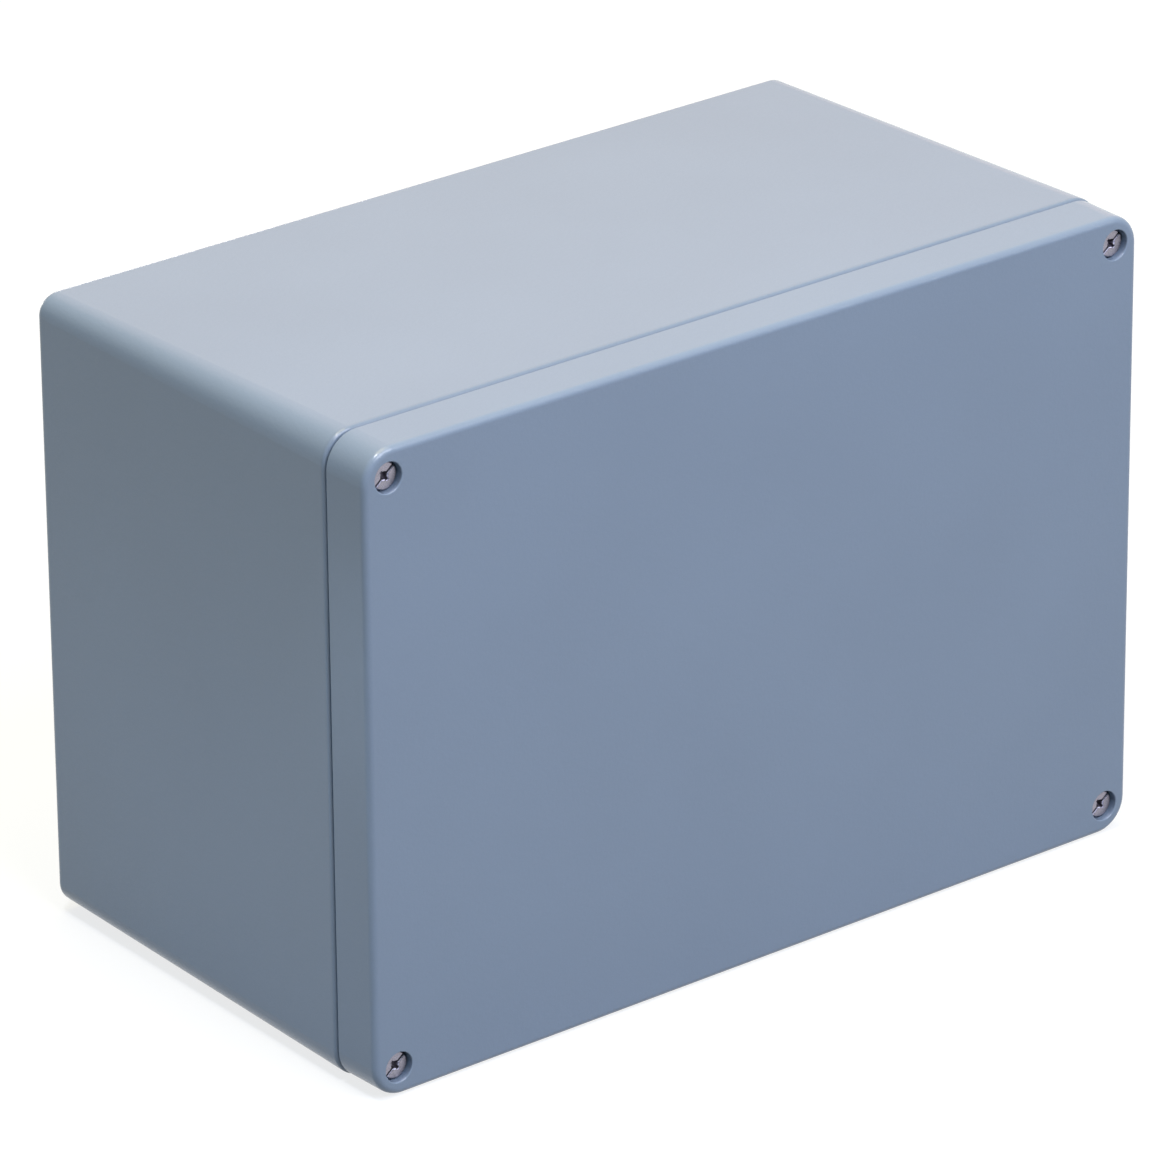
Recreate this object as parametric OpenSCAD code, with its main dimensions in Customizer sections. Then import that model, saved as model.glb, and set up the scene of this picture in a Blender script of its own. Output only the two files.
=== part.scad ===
// Die cast aluminium enclosure: a deep base, a lid on four captive screws, and a seal between them.
// Each casting is described lying on its back with the lid up, and is then stood on its long side:
// the lid faces -Y, the back faces +Y, +X runs along the long side and +Z is up.

/* [Box] */
// Outside width of the base at its rim
box_w = 330; // [300:5:400]
// Outside height of the base at its rim
box_h = 231; // [210:1:300]
// Depth of the base, from its back to its rim
base_d = 162.5; // [110:0.5:180]
// Depth of the lid, from the rim of the base to its front
lid_d = 20.5; // [20:0.5:30]

/* [Castings] */
// Draft angle of the base outside
base_draft = 1.2; // [0.6:0.1:1.3]
// Draft angle of the lid outside
lid_draft = 1; // [0.5:0.1:3]
// Draft angle of the walls inside
inner_draft = 1; // [0.5:0.1:1.1]
// Radius of the upright corners of the base at its rim
base_corner_r = 11; // [9:0.5:14]
// Radius of the upright corners of the lid at its rim
lid_corner_r = 12; // [9:0.5:14]
// Thickness of the back of the base
back_t = 5; // [4:0.5:8]
// Thickness of the plate of the lid
lid_t = 4; // [3:0.5:6]
// Edge radius round the back
back_edge_r = 3; // [1:0.5:4]
// Edge radius round the front of the lid
front_edge_r = 2.3; // [1:0.1:4]
// Edge radius round the rim of the base
rim_edge_r = 1.4; // [0.5:0.1:1.5]
// Edge radius round the rim of the lid
lid_rim_r = 0.4; // [0.2:0.1:0.8]
// Radius between the walls and the floor inside
floor_r = 1.5; // [0.5:0.1:1.6]

/* [Joint between base and lid] */
// Visible gap between base and lid
seam_gap = 1; // [0.5:0.1:1.5]
// How far the gap reaches in
seam_depth = 1.6; // [1:0.1:2]
// How far the base stands proud of the lid all round
lid_inset = 0.1; // [0:0.1:0.5]
// Distance from the outline to the middle of the seal
seal_inset = 4.4; // [4.2:0.1:5]
// Radius of the bends of the seal, along its middle
seal_r = 7; // [6.5:0.5:8]
// Width of the groove of the seal in the lid
groove_w = 3.2; // [2.8:0.1:3.4]
// Depth of the groove of the seal
groove_d = 4.6; // [4:0.1:6]
// Thickness of the land of the lid inside the groove
land_t = 2.4; // [2:0.1:2.6]
// Width of the tongue on the base that presses on the seal
tongue_w = 1.6; // [1:0.1:1.8]
// Height of the tongue
tongue_h = 2; // [1.2:0.1:2.5]
// How far the seal stands down in the groove beside the tongue
seal_grip = 0.8; // [0.3:0.1:1]

/* [Corner blocks] */
// Reach of a corner block along the box, to the middle of the seal
block_w = 37; // [36.5:0.5:50]
// Reach of a corner block up the box, to the middle of the seal
block_h = 22; // [21.5:0.5:30]

/* [Lid screws] */
// Distance of a lid screw from the side of the box
screw_x = 10.3; // [9.5:0.1:10.5]
// Distance of a lid screw from the top or bottom of the box
screw_y = 10.6; // [9.5:0.1:11.5]
// Thread diameter of the screws
screw_d = 6; // [5:0.5:6]
// Neck diameter of the lid screws
neck_d = 4.8; // [4:0.1:4.9]
// Head diameter of the lid screws
head_d = 10; // [9:0.1:10.5]
// Head height of the lid screws
head_h = 3.9; // [3:0.1:4.5]
// Depth of the head below the front of the lid
head_sink = 2.2; // [0.5:0.1:3]
// Diameter of the hole that takes the head
head_hole_d = 10.8; // [10.6:0.1:12.5]
// Edge radius at the mouth of that hole
mouth_r = 0.4; // [0.2:0.1:0.6]
// Depth of thread in the base
thread_depth = 14; // [12:1:20]
// Depth of the free thread below the tip of a lid screw
tip_room = 2; // [1:0.5:4]
// Edge bevel of a screw head or tip
bevel = 0.5; // [0.2:0.1:0.8]
// Width of the slot in a head
slot_w = 1.2; // [0.8:0.1:1.6]
// Depth of the slot in a head
slot_depth = 1.6; // [1:0.1:2]
// Span of the cross recess
cross_span = 4.6; // [4:0.1:6]
// Width of one arm of the cross recess
cross_w = 1.2; // [0.8:0.1:1.4]
// Depth of the cross recess
cross_depth = 2.6; // [2:0.1:2.8]
// Angle of the slots, seen from the front
slot_angle = 40; // [0:5:90]
// Diameter of a retaining washer
retainer_d = 10; // [9:0.1:11]
// Thickness of a retaining washer
retainer_t = 1.4; // [1:0.1:2]

/* [Wall fixing] */
// Distance of a fixing hole from the side of the box
fixing_x = 27; // [26:0.5:28]
// Distance of a fixing hole from the top or bottom of the box
fixing_y = 12; // [11.5:0.5:12.5]
// Diameter of a fixing hole
fixing_d = 7; // [5:0.1:8]
// Diameter of the channel to a fixing hole, at the rim
channel_d = 12; // [11:0.1:12.5]
// Diameter of the channel at its floor
channel_floor_d = 10.6; // [9.5:0.1:11]
// Thickness of the floor under the head of a fixing screw
fixing_floor_t = 8; // [5:1:12]

/* [Inside] */
// Spacing of the threaded bosses along the box
boss_span_x = 260; // [200:5:270]
// Spacing of the threaded bosses up the box
boss_span_y = 150; // [100:5:150]
// Diameter of a threaded boss at its top
boss_d = 14; // [12:1:16]
// Draft angle of the bosses
boss_draft = 2; // [1:0.5:4]
// Height of a boss on the back of the base
boss_h = 10; // [8:1:20]
// Height of the boss under the plate of the lid
lid_boss_h = 8; // [6:1:8]
// Tapping diameter of the free M6 holes
tapping_d = 5; // [4.5:0.1:5.2]
// Depth of the threaded holes in the bosses
tapping_depth = 9; // [7:1:10]

/* [Earth screws] */
// Distance of the earth boss of the base from the bottom of the box
base_earth_y = 32; // [30:1:60]
// Distance of the earth boss of the lid from the side of the box
lid_earth_x = 24; // [22:1:60]
// Head height of an earth screw
earth_head_h = 3.9; // [2:0.1:4]
// Diameter of a spring washer
spring_d = 11.8; // [10:0.1:12]
// Thickness of a spring washer
spring_t = 1.6; // [1:0.1:2]
// Gap in the ring of a spring washer
spring_gap = 1.5; // [0.5:0.1:2]
// Side of a clamp washer
clamp_side = 13; // [11:0.5:14]
// Thickness of a clamp washer
clamp_t = 1.5; // [1:0.1:2]

/* [Hidden] */

$fn = 96;
// Radial clearance of a screw in its thread, and of the seal at its sides
fit = 0.05;
// Radial clearance of a shank or a washer in its hole
free_fit = 0.3;
// How far a cutter reaches past the face that it cuts, and a rib into the wall that carries it
past = 1;
// How far the end of a straight wall tucks into the disc that rounds it
tuck = 0.0003;

coat_grey = [0.52, 0.58, 0.66];
seal_black = [0.13, 0.13, 0.14];
steel = [0.75, 0.74, 0.74];
nylon = [0.9, 0.89, 0.85];
brass = [0.8, 0.66, 0.35];

// The four corners, seen from the front
TOP_LEFT = [-1, 1];
TOP_RIGHT = [1, 1];
BOTTOM_LEFT = [-1, -1];
BOTTOM_RIGHT = [1, -1];
CORNERS = [TOP_LEFT, TOP_RIGHT, BOTTOM_LEFT, BOTTOM_RIGHT];

box_d = base_d + lid_d;
lid_w = box_w - 2 * lid_inset;
lid_h = box_h - 2 * lid_inset;
// Distance from the middle of the seal to the hollow of the base, and to that of the lid
base_reach = tongue_w / 2;
lid_reach = groove_w / 2 + land_t;
head_seat = box_d - head_sink - head_h;
hole_d = screw_d + 2 * free_fit;

// ---- Shapes that both castings use ----

// The half of a disc on its +X side.
module half_disc(r) intersection() {
    circle(r);
    translate([0, -r]) square([r, 2 * r]);
}

function tucked(r) = max(r - tuck, 0);

// Section of a drafted wall, from the middle of its corner out to the radius r at height 0.
// The wall leans in up to height d. Its lower edge is rounded by low_r and its upper by high_r.
module wall_section(r, d, draft, low_r, high_r) {
    low_x = r - low_r * tan(draft) - low_r / cos(draft);
    high_x = r - (d - high_r) * tan(draft) - high_r / cos(draft);
    polygon([
        [0, 0],
        [low_x, 0],
        [low_x + tucked(low_r) * cos(draft), low_r + tucked(low_r) * sin(draft)],
        [high_x + tucked(high_r) * cos(draft), d - high_r + tucked(high_r) * sin(draft)],
        [high_x, d],
        [0, d]
    ]);
    if (low_r > 0) translate([low_x, low_r]) half_disc(low_r);
    if (high_r > 0) translate([high_x, d - high_r]) half_disc(high_r);
}

// A straight piece of a wall that faces +X, made of the section that is its child.
module wall_piece(from_y, to_y) translate([0, to_y, 0]) rotate([90, 0, 0])
    linear_extrude(to_y - from_y) children();

// Turns its children, made for the +X +Y corner of a box, into the corner c.
module in_corner(c) mirror([c.x < 0 ? 1 : 0, 0, 0]) mirror([0, c.y < 0 ? 1 : 0, 0]) children();

// A block with drafted sides and round corners: w by h at height 0, and smaller at height d.
module drafted_block(w, h, r, d, draft, low_r, high_r) {
    middle = [w / 2 - r, h / 2 - r];
    translate([-middle.x, -middle.y, 0]) cube([2 * middle.x, 2 * middle.y, d]);
    for (side = [0 : 3]) {
        reach = side % 2 == 0 ? middle : [middle.y, middle.x];
        rotate(90 * side) translate([reach.x, 0, 0]) wall_piece(-reach.y, reach.y)
            wall_section(r, d, draft, low_r, high_r);
    }
    for (c = CORNERS) in_corner(c) translate(middle) rotate_extrude(angle = 90)
        wall_section(r, d, draft, low_r, high_r);
}

// A flat rectangle with round corners.
module round_rect(w, h, r) {
    square([w - 2 * r, h], center = true);
    square([w, h - 2 * r], center = true);
    for (c = CORNERS) translate([c.x * (w / 2 - r), c.y * (h / 2 - r)]) circle(r);
}

// Size of the two crossing bars that together fill the area inside the seal, grown by g.
function wide_bar(g) = [box_w - 2 * seal_inset + 2 * g, box_h - 2 * block_h + 2 * g];
function tall_bar(g) = [box_w - 2 * block_w + 2 * g, box_h - 2 * seal_inset + 2 * g];

// The area inside the middle of the seal, grown by g. It leaves out the corner blocks.
module seal_area(g) {
    wide = wide_bar(g);
    tall = tall_bar(g);
    bend_r = seal_r - g;
    round_rect(wide.x, wide.y, seal_r + g);
    round_rect(tall.x, tall.y, seal_r + g);
    for (c = CORNERS)
        translate([c.x * tall.x / 2, c.y * wide.y / 2]) difference() {
            translate([c.x * bend_r / 2, c.y * bend_r / 2]) square(bend_r, center = true);
            translate([c.x * bend_r, c.y * bend_r]) circle(bend_r);
        }
}

// A closed strip of width w along the seal, from one height to another.
module seal_strip(w, bottom, top) {
    translate([0, 0, bottom]) linear_extrude(top - bottom) difference() {
        seal_area(w / 2);
        seal_area(-w / 2);
    }
}

// The hollow inside the seal, `reach` in from its middle. It is d deep from height 0 upwards and
// narrows by the inner draft, so the corner blocks and their rounded free edges grow with height.
module hollow(d, reach) {
    outer = [box_w / 2 - seal_inset - seal_r, box_h / 2 - seal_inset - seal_r];
    edge = [box_w / 2 - block_w + seal_r, box_h / 2 - block_h + seal_r];
    inner = [edge.x - 2 * seal_r, edge.y - 2 * seal_r];
    module section() wall_section(seal_r - reach, d, inner_draft, 0, floor_r);
    translate([-outer.x, -inner.y, 0]) cube([2 * outer.x, 2 * inner.y, d]);
    translate([-inner.x, -outer.y, 0]) cube([2 * inner.x, 2 * outer.y, d]);
    for (side = [0, 2]) rotate(90 * side) {
        translate([outer.x, 0, 0]) wall_piece(-inner.y, inner.y) section();
        rotate(90) translate([outer.y, 0, 0]) wall_piece(-inner.x, inner.x) section();
    }
    for (c = CORNERS) in_corner(c) {
        translate([outer.x, inner.y, 0]) rotate_extrude(angle = 90) section();
        translate([inner.x, outer.y, 0]) rotate_extrude(angle = 90) section();
        translate([inner.x, 0, 0]) wall_piece(edge.y, outer.y) section();
        mirror([1, -1, 0]) translate([inner.y, 0, 0]) wall_piece(edge.x, outer.x) section();
        translate(edge) rotate(180) rotate_extrude(angle = 90) translate([2 * seal_r, 0]) {
            mirror([1, 0]) section();
            square([seal_r, d]);
        }
    }
}

// Puts its children, made upwards from height 0, under the rim of the base.
module below_rim() translate([0, 0, base_d]) mirror([0, 0, 1]) children();

// Puts its children on the axis of a lid screw, or of a fixing hole.
module at_screw(c) translate([c.x * (box_w / 2 - screw_x), c.y * (box_h / 2 - screw_y), 0]) children();
module at_fixing(c) translate([c.x * (box_w / 2 - fixing_x), c.y * (box_h / 2 - fixing_y), 0]) children();

// Puts its children, made upwards from height 0, on the inside of the back or of the lid's plate.
module at_base_earth() translate([0, base_earth_y - box_h / 2, back_t]) children();
module at_lid_earth() translate([lid_earth_x - box_w / 2, 0, box_d - lid_t]) mirror([0, 0, 1]) children();

// Stands the castings up on their long side.
module stood_up() translate([0, box_d / 2, box_h / 2]) rotate([90, 0, 0]) children();

// A boss of height h, wider at its foot, and the hole in its top.
module boss(h) translate([0, 0, -past])
    cylinder(h + past, boss_d / 2 + (h + past) * tan(boss_draft), boss_d / 2);
module boss_hole(h, d) translate([0, 0, h - tapping_depth]) cylinder(tapping_depth + past, d = d);

// ---- Base ----

module fixing_channel() {
    translate([0, 0, -past]) cylinder(fixing_floor_t + 2 * past, d = fixing_d);
    translate([0, 0, fixing_floor_t]) cylinder(base_d - fixing_floor_t, channel_floor_d / 2, channel_d / 2);
    translate([0, 0, base_d]) cylinder(past, d = channel_d);
}

module thread_hole() {
    translate([0, 0, base_d - thread_depth]) cylinder(thread_depth + past, d = screw_d + 2 * fit);
    translate([0, 0, base_d - bevel]) cylinder(2 * bevel, screw_d / 2 + fit, screw_d / 2 + fit + 2 * bevel);
}

module base() color(coat_grey) stood_up() difference() {
    union() {
        difference() {
            below_rim() drafted_block(box_w, box_h, base_corner_r, base_d, base_draft,
                                      rim_edge_r, back_edge_r);
            below_rim() hollow(base_d - back_t, base_reach);
        }
        seal_strip(tongue_w, base_d - past, base_d + tongue_h);
        for (c = CORNERS)
            translate([c.x * boss_span_x / 2, c.y * boss_span_y / 2, back_t]) boss(boss_h);
        at_base_earth() boss(boss_h);
    }
    for (c = CORNERS) {
        at_screw(c) thread_hole();
        at_fixing(c) fixing_channel();
        translate([c.x * boss_span_x / 2, c.y * boss_span_y / 2, back_t]) boss_hole(boss_h, tapping_d);
    }
    at_base_earth() boss_hole(boss_h, screw_d + 2 * fit);
}

// ---- Lid ----

module head_hole() {
    translate([0, 0, head_seat]) cylinder(box_d - head_seat + past, d = head_hole_d);
    translate([0, 0, base_d - past]) cylinder(lid_d, d = hole_d);
    translate([0, 0, base_d - past]) cylinder(retainer_t + free_fit + past, d = retainer_d + 2 * free_fit);
    rotate_extrude() translate([head_hole_d / 2, box_d - mouth_r]) difference() {
        translate([-past, 0]) square([mouth_r + past, mouth_r + past]);
        translate([mouth_r, 0]) circle(mouth_r);
    }
}

module lid() color(coat_grey) stood_up() difference() {
    union() {
        translate([0, 0, base_d + seam_gap])
            drafted_block(lid_w, lid_h, lid_corner_r, lid_d - seam_gap, lid_draft, lid_rim_r, front_edge_r);
        translate([0, 0, base_d]) linear_extrude(seam_gap + past)
            round_rect(box_w - 2 * seam_depth, box_h - 2 * seam_depth, base_corner_r - seam_depth);
    }
    difference() {
        translate([0, 0, base_d]) hollow(lid_d - lid_t, lid_reach);
        at_lid_earth() boss(lid_boss_h);
    }
    seal_strip(groove_w, base_d - past, base_d + groove_d);
    for (c = CORNERS) at_screw(c) head_hole();
    at_lid_earth() boss_hole(lid_boss_h, screw_d + 2 * fit);
}

// ---- Seal ----

// A strip in the groove of the lid, into which the tongue of the base has pressed.
module lid_gasket() color(seal_black) stood_up() difference() {
    seal_strip(groove_w - 2 * fit, base_d + tongue_h - seal_grip, base_d + groove_d);
    seal_strip(tongue_w + 2 * fit, base_d, base_d + tongue_h);
}

// ---- Screws and washers ----

// A cheese head of height h on height 0, with the bevelled rim of a turned head.
module cheese_head(h) {
    cylinder(h - bevel, d = head_d);
    translate([0, 0, h - bevel]) cylinder(bevel, head_d / 2, head_d / 2 - bevel);
}

// A thread of length h down from height 0, with a bevelled tip.
module thread(h) mirror([0, 0, 1]) {
    cylinder(h - bevel, d = screw_d);
    translate([0, 0, h - bevel]) cylinder(bevel, screw_d / 2, screw_d / 2 - bevel);
}

// Cutters for a head whose top is at height 0: a slot right across it, and a cross recess.
module head_slot() translate([0, 0, (past - slot_depth) / 2])
    cube([head_d + 2 * past, slot_w, slot_depth + past], center = true);

module head_cross() {
    for (turn = [0, 90]) rotate(turn) translate([0, 0, (past - cross_depth) / 2])
        cube([cross_span, cross_w, cross_depth + past], center = true);
    translate([0, 0, -cross_depth]) cylinder(cross_depth, cross_w / 2, (cross_span - cross_w) / 2);
}

// A captive screw: a neck lets it turn free in the lid, and the retaining washer holds its thread.
module captive_screw(c) color(steel) stood_up() at_screw(c) {
    difference() {
        translate([0, 0, head_seat]) cheese_head(head_h);
        translate([0, 0, head_seat + head_h]) rotate(slot_angle) {
            head_slot();
            head_cross();
        }
    }
    translate([0, 0, base_d - past]) cylinder(head_seat - base_d + 2 * past, d = neck_d);
    translate([0, 0, base_d - fit]) thread(thread_depth - tip_room);
}

module retaining_washer(c) color(nylon) stood_up() at_screw(c) translate([0, 0, base_d]) difference() {
    cylinder(retainer_t, d = retainer_d);
    translate([0, 0, -past]) cylinder(retainer_t + 2 * past, d = neck_d + 2 * free_fit);
}

module lid_screw_top_left() captive_screw(TOP_LEFT);
module lid_screw_top_right() captive_screw(TOP_RIGHT);
module lid_screw_bottom_left() captive_screw(BOTTOM_LEFT);
module lid_screw_bottom_right() captive_screw(BOTTOM_RIGHT);
module retaining_washer_top_left() retaining_washer(TOP_LEFT);
module retaining_washer_top_right() retaining_washer(TOP_RIGHT);
module retaining_washer_bottom_left() retaining_washer(BOTTOM_LEFT);
module retaining_washer_bottom_right() retaining_washer(BOTTOM_RIGHT);

// An earth screw and its washers, made upwards from the top of their boss.
module earth_screw() color(brass) {
    stack = clamp_t + spring_t;
    difference() {
        translate([0, 0, stack]) cheese_head(earth_head_h);
        translate([0, 0, stack + earth_head_h]) head_slot();
    }
    translate([0, 0, stack + past]) thread(stack + tapping_depth);
}

module spring_washer() color(steel) translate([0, 0, clamp_t]) difference() {
    cylinder(spring_t, d = spring_d);
    translate([0, 0, -past]) cylinder(spring_t + 2 * past, d = hole_d);
    translate([0, -spring_gap / 2, -past]) cube([spring_d, spring_gap, spring_t + 2 * past]);
}

module clamp_washer() color(brass) difference() {
    translate([-clamp_side / 2, -clamp_side / 2, 0]) cube([clamp_side, clamp_side, clamp_t]);
    translate([0, 0, -past]) cylinder(clamp_t + 2 * past, d = hole_d);
}

module on_base_boss() stood_up() at_base_earth() translate([0, 0, boss_h]) children();
module on_lid_boss() stood_up() at_lid_earth() translate([0, 0, lid_boss_h]) children();

module base_earth_screw() on_base_boss() earth_screw();
module base_earth_spring_washer() on_base_boss() spring_washer();
module base_earth_clamp_washer() on_base_boss() clamp_washer();
module lid_earth_screw() on_lid_boss() earth_screw();
module lid_earth_spring_washer() on_lid_boss() spring_washer();
module lid_earth_clamp_washer() on_lid_boss() clamp_washer();

base();
lid();
lid_gasket();
lid_screw_top_left();
lid_screw_top_right();
lid_screw_bottom_left();
lid_screw_bottom_right();
retaining_washer_top_left();
retaining_washer_top_right();
retaining_washer_bottom_left();
retaining_washer_bottom_right();
base_earth_screw();
base_earth_spring_washer();
base_earth_clamp_washer();
lid_earth_screw();
lid_earth_spring_washer();
lid_earth_clamp_washer();
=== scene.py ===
import math

import bpy
from mathutils import Matrix, Vector


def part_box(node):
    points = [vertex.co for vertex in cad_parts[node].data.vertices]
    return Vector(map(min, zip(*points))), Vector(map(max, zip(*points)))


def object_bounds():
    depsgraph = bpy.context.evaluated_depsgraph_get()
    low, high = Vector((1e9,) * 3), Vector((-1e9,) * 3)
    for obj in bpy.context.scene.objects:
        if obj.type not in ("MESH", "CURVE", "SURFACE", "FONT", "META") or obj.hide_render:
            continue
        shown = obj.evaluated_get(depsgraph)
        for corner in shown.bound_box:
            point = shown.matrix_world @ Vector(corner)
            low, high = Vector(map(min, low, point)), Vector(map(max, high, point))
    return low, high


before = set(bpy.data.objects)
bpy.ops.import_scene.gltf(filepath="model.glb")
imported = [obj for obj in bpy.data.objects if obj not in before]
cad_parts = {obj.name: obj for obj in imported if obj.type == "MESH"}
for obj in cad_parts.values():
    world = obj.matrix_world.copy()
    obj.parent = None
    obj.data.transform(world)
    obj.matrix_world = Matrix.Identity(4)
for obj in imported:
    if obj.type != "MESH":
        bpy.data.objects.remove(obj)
cad_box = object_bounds()

MIDDLE = (cad_box[0].z + cad_box[1].z) / 2  # height of the middle of the box
NOISE_SPAN = (0.3, 0.7)  # most of a noise lies between these

# ---- Helpers ----


class Nodes:
    """The node tree of a material or a world, with short ways to add and join nodes."""

    def __init__(self, owner, output="ShaderNodeOutputMaterial"):
        owner.use_nodes = True
        self.owner = owner
        self.tree = owner.node_tree
        self.tree.nodes.clear()
        self.output = self.add(output)

    def add(self, kind, **settings):
        node = self.tree.nodes.new(kind)
        for name, value in settings.items():
            setattr(node, name, value)
        return node

    def put(self, value, socket):
        """Joins another node's output to a socket, or sets a constant on it."""
        if isinstance(value, bpy.types.NodeSocket):
            self.tree.links.new(value, socket)
        else:
            socket.default_value = value

    def feed(self, node, **inputs):
        """Fills the inputs of a node by name, with an underscore for each space."""
        for name, value in inputs.items():
            self.put(value, node.inputs[name.replace("_", " ")])
        return node

    def math(self, operation, *values):
        node = self.add("ShaderNodeMath", operation=operation)
        for value, socket in zip(values, node.inputs):
            self.put(value, socket)
        return node.outputs[0]

    def place(self):
        return self.add("ShaderNodeTexCoord").outputs["Object"]

    def along(self, axis):
        split = self.add("ShaderNodeSeparateXYZ")
        self.put(self.place(), split.inputs[0])
        return split.outputs[axis]

    def scaled(self, colour, factor):
        node = self.add("ShaderNodeVectorMath", operation="SCALE")
        return self.feed(node, Vector=colour, Scale=factor).outputs["Vector"]

    def noise(self, scale, detail, roughness=0.5):
        node = self.add("ShaderNodeTexNoise")
        self.feed(node, Vector=self.place(), Scale=scale, Detail=detail)
        return self.feed(node, Roughness=roughness).outputs["Fac"]

    def spread(self, value, ends, span=NOISE_SPAN):
        """Maps a value's span to the two ends, and stays at an end beyond it."""
        node = self.add("ShaderNodeMapRange")
        self.feed(node, Value=value, From_Min=span[0], From_Max=span[1])
        return self.feed(node, To_Min=ends[0], To_Max=ends[1]).outputs["Result"]

    def ramp(self, value, stops):
        """Colours at places from 0 to 1, with what lies between them blended."""
        node = self.add("ShaderNodeValToRGB")
        ends = node.color_ramp.elements
        while len(ends) < len(stops):
            ends.new(0.5)
        for end, (position, colour) in zip(ends, stops):
            end.position = position
            end.color = (*colour, 1.0)
        return self.feed(node, Fac=value).outputs["Color"]

    def bump(self, height, depth, under=None):
        """A relief as deep as depth, in metres, on top of the one under it."""
        node = self.add("ShaderNodeBump")
        self.feed(node, Height=height, Distance=depth)
        if under is not None:
            self.feed(node, Normal=under)
        return node.outputs["Normal"]

    def surface(self, shader):
        self.put(shader.outputs[0], self.output.inputs["Surface"])
        return self.owner

    def principled(self, **inputs):
        return self.surface(self.feed(self.add("ShaderNodeBsdfPrincipled"), **inputs))


def material_nodes(name):
    return Nodes(bpy.data.materials.new(name))


def shade(colour, factor):
    return tuple(channel * factor for channel in colour)


def new_object(name, data):
    thing = bpy.data.objects.new(name, data)
    bpy.context.scene.collection.objects.link(thing)
    return thing


# ---- Coat, seal and washers ----

COAT = (0.222, 0.28, 0.38)
RUBBER = (0.012, 0.012, 0.013)
NYLON = (0.75, 0.71, 0.6)

# Painted shade along the rim of the base, in the joint with the lid.
JOINT = -0.071  # Y where the base meets the lid
RIM_SHADE = 0.86
RIM_REACH = 0.0025  # from the joint to the back, where the painted shade has faded
RIM_EDGE = 0.0005  # from the joint to the front, where the painted shade stops


def powder_coat():
    """A satin coat with orange peel, faint clouds and a painted shade along the rim, in
    the joint.
    """
    n = material_nodes("powder_coat")
    clouds = n.math("MULTIPLY", n.noise(scale=14, detail=2), 0.6)
    speckles = n.math("MULTIPLY", n.noise(scale=1900, detail=1), 0.4)
    stops = [(0.35, shade(COAT, 0.975)), (0.5, COAT), (0.65, shade(COAT, 1.025))]
    colour = n.ramp(n.math("ADD", clouds, speckles), stops)
    # Painted shade: the coat darkens towards the joint between the base and the lid.
    back = n.along("Y")
    fading = n.spread(back, (RIM_SHADE, 1.0), (JOINT, JOINT + RIM_REACH))
    painted_joint_shade = n.math("MAXIMUM", fading, n.math("LESS_THAN", back, JOINT - RIM_EDGE))
    peel = n.bump(n.noise(scale=620, detail=2, roughness=0.45), depth=0.00005)
    return n.principled(
        Base_Color=n.scaled(colour, painted_joint_shade),
        Roughness=n.spread(n.noise(scale=300, detail=2), (0.2, 0.25)),
        IOR=1.5,
        Normal=n.bump(n.noise(scale=1500, detail=1), depth=0.000015, under=peel),
    )


def seal_rubber():
    n = material_nodes("seal")
    stops = [(0.3, shade(RUBBER, 0.8)), (0.7, shade(RUBBER, 1.5))]
    return n.principled(
        Base_Color=n.ramp(n.noise(scale=900, detail=3), stops),
        Roughness=n.spread(n.noise(scale=500, detail=2), (0.62, 0.8)),
        IOR=1.5,
        Normal=n.bump(n.noise(scale=2200, detail=2), depth=0.00002),
    )


def nylon():
    n = material_nodes("nylon")
    stops = [(0.3, shade(NYLON, 0.95)), (0.7, NYLON)]
    return n.principled(
        Base_Color=n.ramp(n.noise(scale=350, detail=2), stops),
        Roughness=n.spread(n.noise(scale=700, detail=2), (0.38, 0.5)),
        IOR=1.53,
        Normal=n.bump(n.noise(scale=1600, detail=2), depth=0.00001),
    )


# ---- Turned metal ----

ZINC = (0.3, 0.285, 0.335)
BRASS = (0.66, 0.46, 0.2)

RING_PITCH = 0.00022
RING_WANDER = 0.0001

# The slot and cross of a lid screw, by depth below the face of the head: a painted
# highlight on the walls and a painted shade at the bottom.
RECESS_REACH = 0.0045  # distance from the axis within which they lie
WALL_START = (0.00003, 0.0001)
WALL_END = (0.0005, 0.0007)
WALL_LIGHT = 1.8
WALL_ROUGHNESS = 0.2
BOTTOM_START = (0.0005, 0.0008)
BOTTOM_SHADE = 0.8


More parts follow.
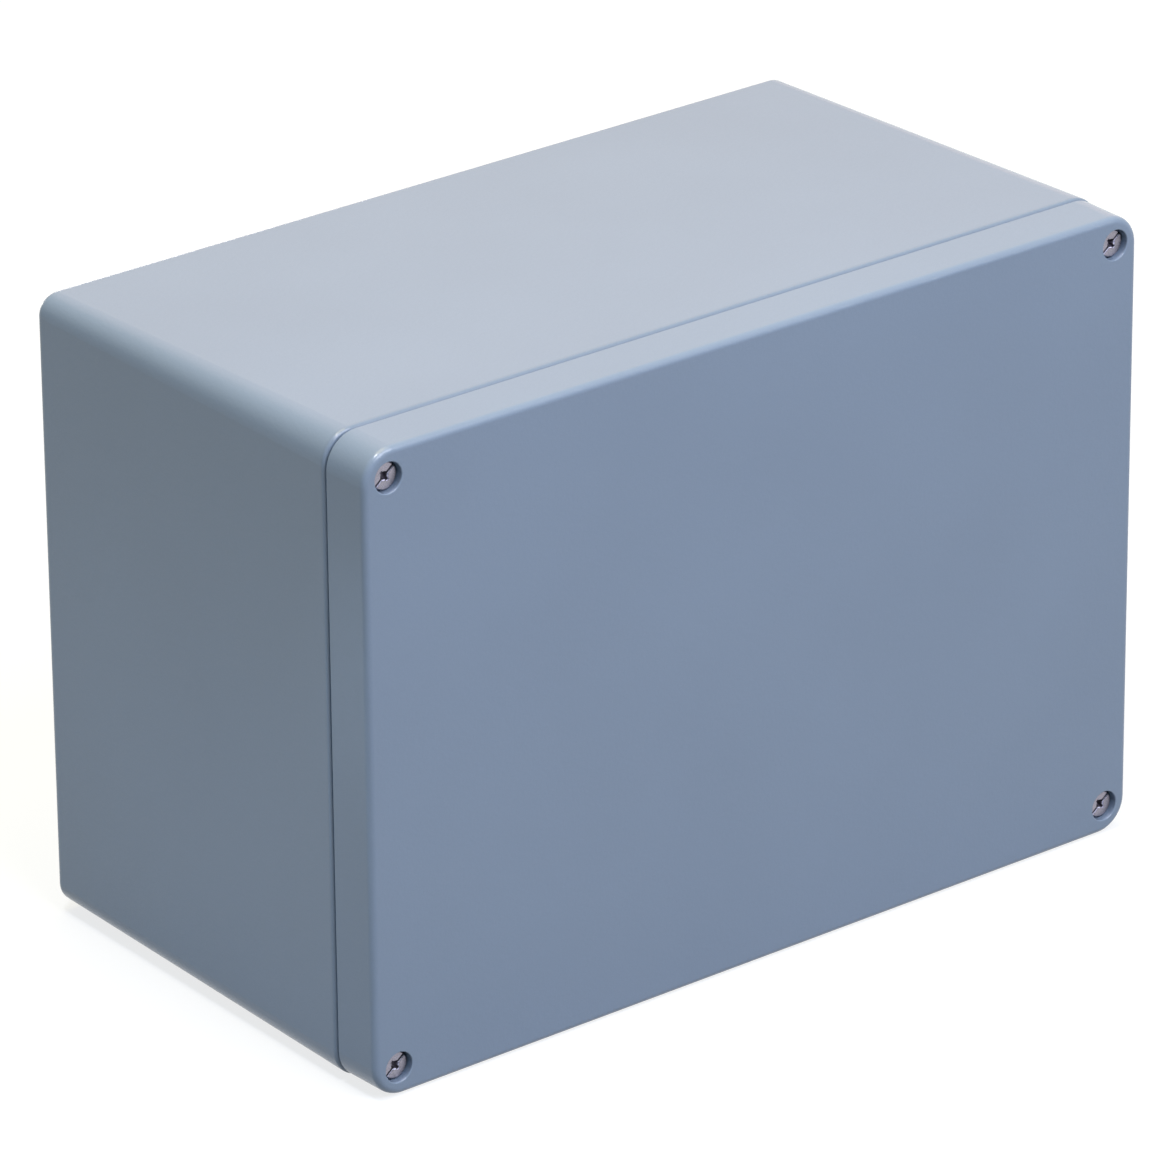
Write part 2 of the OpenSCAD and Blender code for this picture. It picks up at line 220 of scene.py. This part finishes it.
def turned_metal(name, colour, roughness, radius, face=None):
    """A metal with the rings of a lathe tool around the axis that radius measures from.
    With face, the Y of a screw's face, the walls of its slot are matt and carry a
    painted highlight, and the bottom of the slot has a painted shade."""
    n = material_nodes(name)
    distance = radius(n)
    wander = n.math("MULTIPLY", n.noise(scale=260, detail=1), RING_WANDER)
    turns = n.math("MULTIPLY", n.math("ADD", distance, wander), 2 * math.pi / RING_PITCH)
    rings = n.math("SINE", turns)
    tarnish = n.noise(scale=420, detail=3, roughness=0.6)
    stops = [(0.3, shade(colour, 0.8)), (0.55, colour), (0.8, shade(colour, 1.08))]
    grain = n.spread(n.noise(scale=2800, detail=1), (0.8, 1.25))
    tint = n.scaled(n.ramp(tarnish, stops), grain)
    gloss = n.spread(tarnish, (roughness - 0.06, roughness + 0.1))
    metallic = 1.0
    if face is not None:
        depth = n.math("SUBTRACT", n.along("Y"), face)
        inside = n.math("LESS_THAN", distance, RECESS_REACH)
        wall = n.math("MULTIPLY", n.spread(depth, (0.0, 1.0), WALL_START), inside)
        wall = n.math("MULTIPLY", wall, n.spread(depth, (1.0, 0.0), WALL_END))
        # Painted shade: the colour darkens towards the bottom of the slot.
        light = n.spread(depth, (1.0, BOTTOM_SHADE), BOTTOM_START)
        # Painted highlight: the colour of the slot walls is made brighter.
        light = n.math("ADD", light, n.math("MULTIPLY", wall, WALL_LIGHT))
        tint = n.scaled(tint, light)
        gloss = n.math("ADD", gloss, n.math("MULTIPLY", wall, WALL_ROUGHNESS))
        metallic = n.math("SUBTRACT", 1.0, wall)
    lathe = n.bump(rings, depth=0.000004)
    nicks = n.noise(scale=2600, detail=2, roughness=0.6)
    return n.principled(
        Base_Color=tint,
        Metallic=metallic,
        Roughness=gloss,
        Normal=n.bump(nicks, depth=0.00002, under=lathe),
    )


def around(x, z, mirrored=False):
    """Measures the distance from an axis along Y at x, z. When mirrored, it is the
    nearest of four such axes, one in each corner of the box."""

    def radius(n):
        across, up = n.along("X"), n.math("SUBTRACT", n.along("Z"), MIDDLE)
        if mirrored:
            across, up = n.math("ABSOLUTE", across), n.math("ABSOLUTE", up)
        dx = n.math("SUBTRACT", across, x)
        dz = n.math("SUBTRACT", up, z - MIDDLE)
        squares = n.math("ADD", n.math("MULTIPLY", dx, dx), n.math("MULTIPLY", dz, dz))
        return n.math("SQRT", squares)

    return radius


def axis_of(node):
    low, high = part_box(node)
    return (low.x + high.x) / 2, (low.z + high.z) / 2


# ---- Looks of the pieces ----

CORNERS = ("top_left", "top_right", "bottom_left", "bottom_right")
EARTH_PARTS = (
    ("_earth_screw", "_earth_brass", BRASS, 0.26),
    ("_earth_clamp_washer", "_clamp_brass", BRASS, 0.3),
    ("_earth_spring_washer", "_spring_steel", ZINC, 0.3),
)


def dress():
    coat = powder_coat()
    looks = {"base": coat, "lid": coat, "lid_gasket": seal_rubber()}
    plastic = nylon()
    corner_axes = around(*axis_of("lid_screw_top_right"), mirrored=True)
    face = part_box("lid_screw_top_right")[0].y
    zinc = turned_metal("zinc_plate", ZINC, 0.3, corner_axes, face)
    for corner in CORNERS:
        looks["lid_screw_" + corner] = zinc
        looks["retaining_washer_" + corner] = plastic
    for casting in ("base", "lid"):
        axis = around(*axis_of(casting + "_earth_screw"))
        for part, metal, colour, roughness in EARTH_PARTS:
            looks[casting + part] = turned_metal(casting + metal, colour, roughness, axis)
    for name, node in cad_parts.items():
        node.data.materials.clear()
        node.data.materials.append(looks[name])


dress()

# ---- Floor and world ----

FLOOR_HALF = 30.0
FLOOR_TINTS = [(0.3, (0.235, 0.24, 0.25)), (0.7, (0.245, 0.25, 0.26))]
GLOW = (0.78, 0.92)  # what the floor adds to its own shade near the box and far off
GLOW_SPAN = (0.4, 2.0)  # distances from the middle between which it grows
AMBIENT = (0.012, 0.115, 0.124)
BACKDROP = (0.8, 0.8, 0.8)


def shown(n):
    """1 for camera, glossy and transmission rays, 0 for those that light the object."""
    path = n.add("ShaderNodeLightPath").outputs
    either = n.math("MAXIMUM", path["Is Camera Ray"], path["Is Glossy Ray"])
    return n.math("MAXIMUM", either, path["Is Transmission Ray"])


def floor_material():
    n = material_nodes("pale_floor")
    matt = n.add("ShaderNodeBsdfDiffuse")
    n.feed(matt, Color=n.ramp(n.noise(scale=3, detail=2), FLOOR_TINTS))
    distance = n.add("ShaderNodeVectorMath", operation="LENGTH")
    n.put(n.place(), distance.inputs[0])
    strength = n.spread(distance.outputs["Value"], GLOW, GLOW_SPAN)
    glow = n.add("ShaderNodeEmission")
    n.feed(glow, Strength=n.math("MULTIPLY", shown(n), strength))
    both = n.add("ShaderNodeAddShader")
    n.put(matt.outputs[0], both.inputs[0])
    n.put(glow.outputs[0], both.inputs[1])
    return n.surface(both)


def pale_floor():
    half = FLOOR_HALF
    corners = [(-half, -half, 0), (half, -half, 0), (half, half, 0), (-half, half, 0)]
    mesh = bpy.data.meshes.new("floor")
    mesh.from_pydata(corners, [], [(0, 1, 2, 3)])
    mesh.materials.append(floor_material())
    floor = new_object("floor", mesh)


def studio_world():
    world = bpy.data.worlds.new("studio")
    bpy.context.scene.world = world
    n = Nodes(world, "ShaderNodeOutputWorld")
    room = n.feed(n.add("ShaderNodeBackground"), Color=(*AMBIENT, 1.0))
    white = n.feed(n.add("ShaderNodeBackground"), Color=(*BACKDROP, 1.0))
    mix = n.feed(n.add("ShaderNodeMixShader"), Fac=shown(n))
    n.put(room.outputs[0], mix.inputs[1])
    n.put(white.outputs[0], mix.inputs[2])
    n.surface(mix)


pale_floor()
studio_world()

# ---- Lamps ----


def softbox(name, towards, distance, size, watts, colour):
    """A rectangular lamp that faces the middle of the box. towards is the direction in
    which it stands, and size is its width and height."""
    light = bpy.data.lights.new(name, "AREA")
    light.shape = "RECTANGLE"
    light.size, light.size_y = size
    light.energy = watts
    light.color = colour
    lamp = new_object(name, light)
    away = Vector(towards).normalized()
    lamp.location = Vector((0, 0, MIDDLE)) + away * distance
    lamp.rotation_mode = "QUATERNION"
    lamp.rotation_quaternion = away.to_track_quat("Z", "Y")


# The large lamps give each face its shade.
softbox("top_softbox", towards=(0.0, 0.1, 1.0), distance=1.7,
        size=(1.0, 1.6), watts=21.6, colour=(1.0, 0.81, 0.38))
softbox("front_softbox", towards=(0.1, -0.8, 0.9), distance=2.2,
        size=(1.6, 1.2), watts=46.6, colour=(0.846, 0.865, 1.0))
softbox("back_softbox", towards=(0.57, 0.71, 0.41), distance=2.2,
        size=(2.8, 2.0), watts=7, colour=(1.0, 0.58, 0.51))
softbox("rear_fill", towards=(0.2, 1.0, 0.0), distance=2.2,
        size=(1.6, 0.12), watts=5, colour=(1.0, 0.98, 0.95))
softbox("left_fill", towards=(-0.33, 0.0, -0.085), distance=0.341,
        size=(0.3, 0.09), watts=0.08, colour=(0.42, 0.58, 0.85))
# The small ones give the highlights on the corners and the screws.
softbox("corner_spot", towards=(-0.3, -0.1, 0.95), distance=2.2,
        size=(0.25, 0.25), watts=19, colour=(0.88, 0.9, 1.0))
softbox("right_spot", towards=(0.62, -0.72, 0.32), distance=2.36,
        size=(0.1, 0.1), watts=1.5, colour=(0.92, 0.97, 1.0))

# ---- Camera ----

SENSOR = 36.0
IMAGE = 1174  # width of the image
FOCAL = 8393.21  # focal length, in the unit of IMAGE
CLIP_START, CLIP_END = 0.05, 200
TARGET = Vector((-0.0183915, -0.021, 0.1192763))
YAW, PITCH, ROLL, DISTANCE = 0.6737918, 0.4213547, -0.0078584, 2.8257372


def studio_camera():
    """Looks at TARGET from DISTANCE, turned from +Y by YAW, down by PITCH and by ROLL
    around its own axis."""
    data = bpy.data.cameras.new("camera")
    data.sensor_width = SENSOR
    data.lens = FOCAL / IMAGE * SENSOR
    data.clip_start, data.clip_end = CLIP_START, CLIP_END
    camera = new_object("camera", data)
    level = math.cos(PITCH)
    ahead = Vector((math.sin(YAW) * level, math.cos(YAW) * level, -math.sin(PITCH)))
    right = Vector((math.cos(YAW), -math.sin(YAW), 0))
    up = right.cross(ahead)
    c, s = math.cos(ROLL), math.sin(ROLL)
    right, up = right * c + up * s, up * c - right * s
    turn = Matrix((right, up, -ahead)).transposed().to_4x4()
    camera.matrix_world = Matrix.Translation(TARGET - ahead * DISTANCE) @ turn
    bpy.context.scene.camera = camera


studio_camera()
bpy.context.scene.view_settings.view_transform = "Standard"
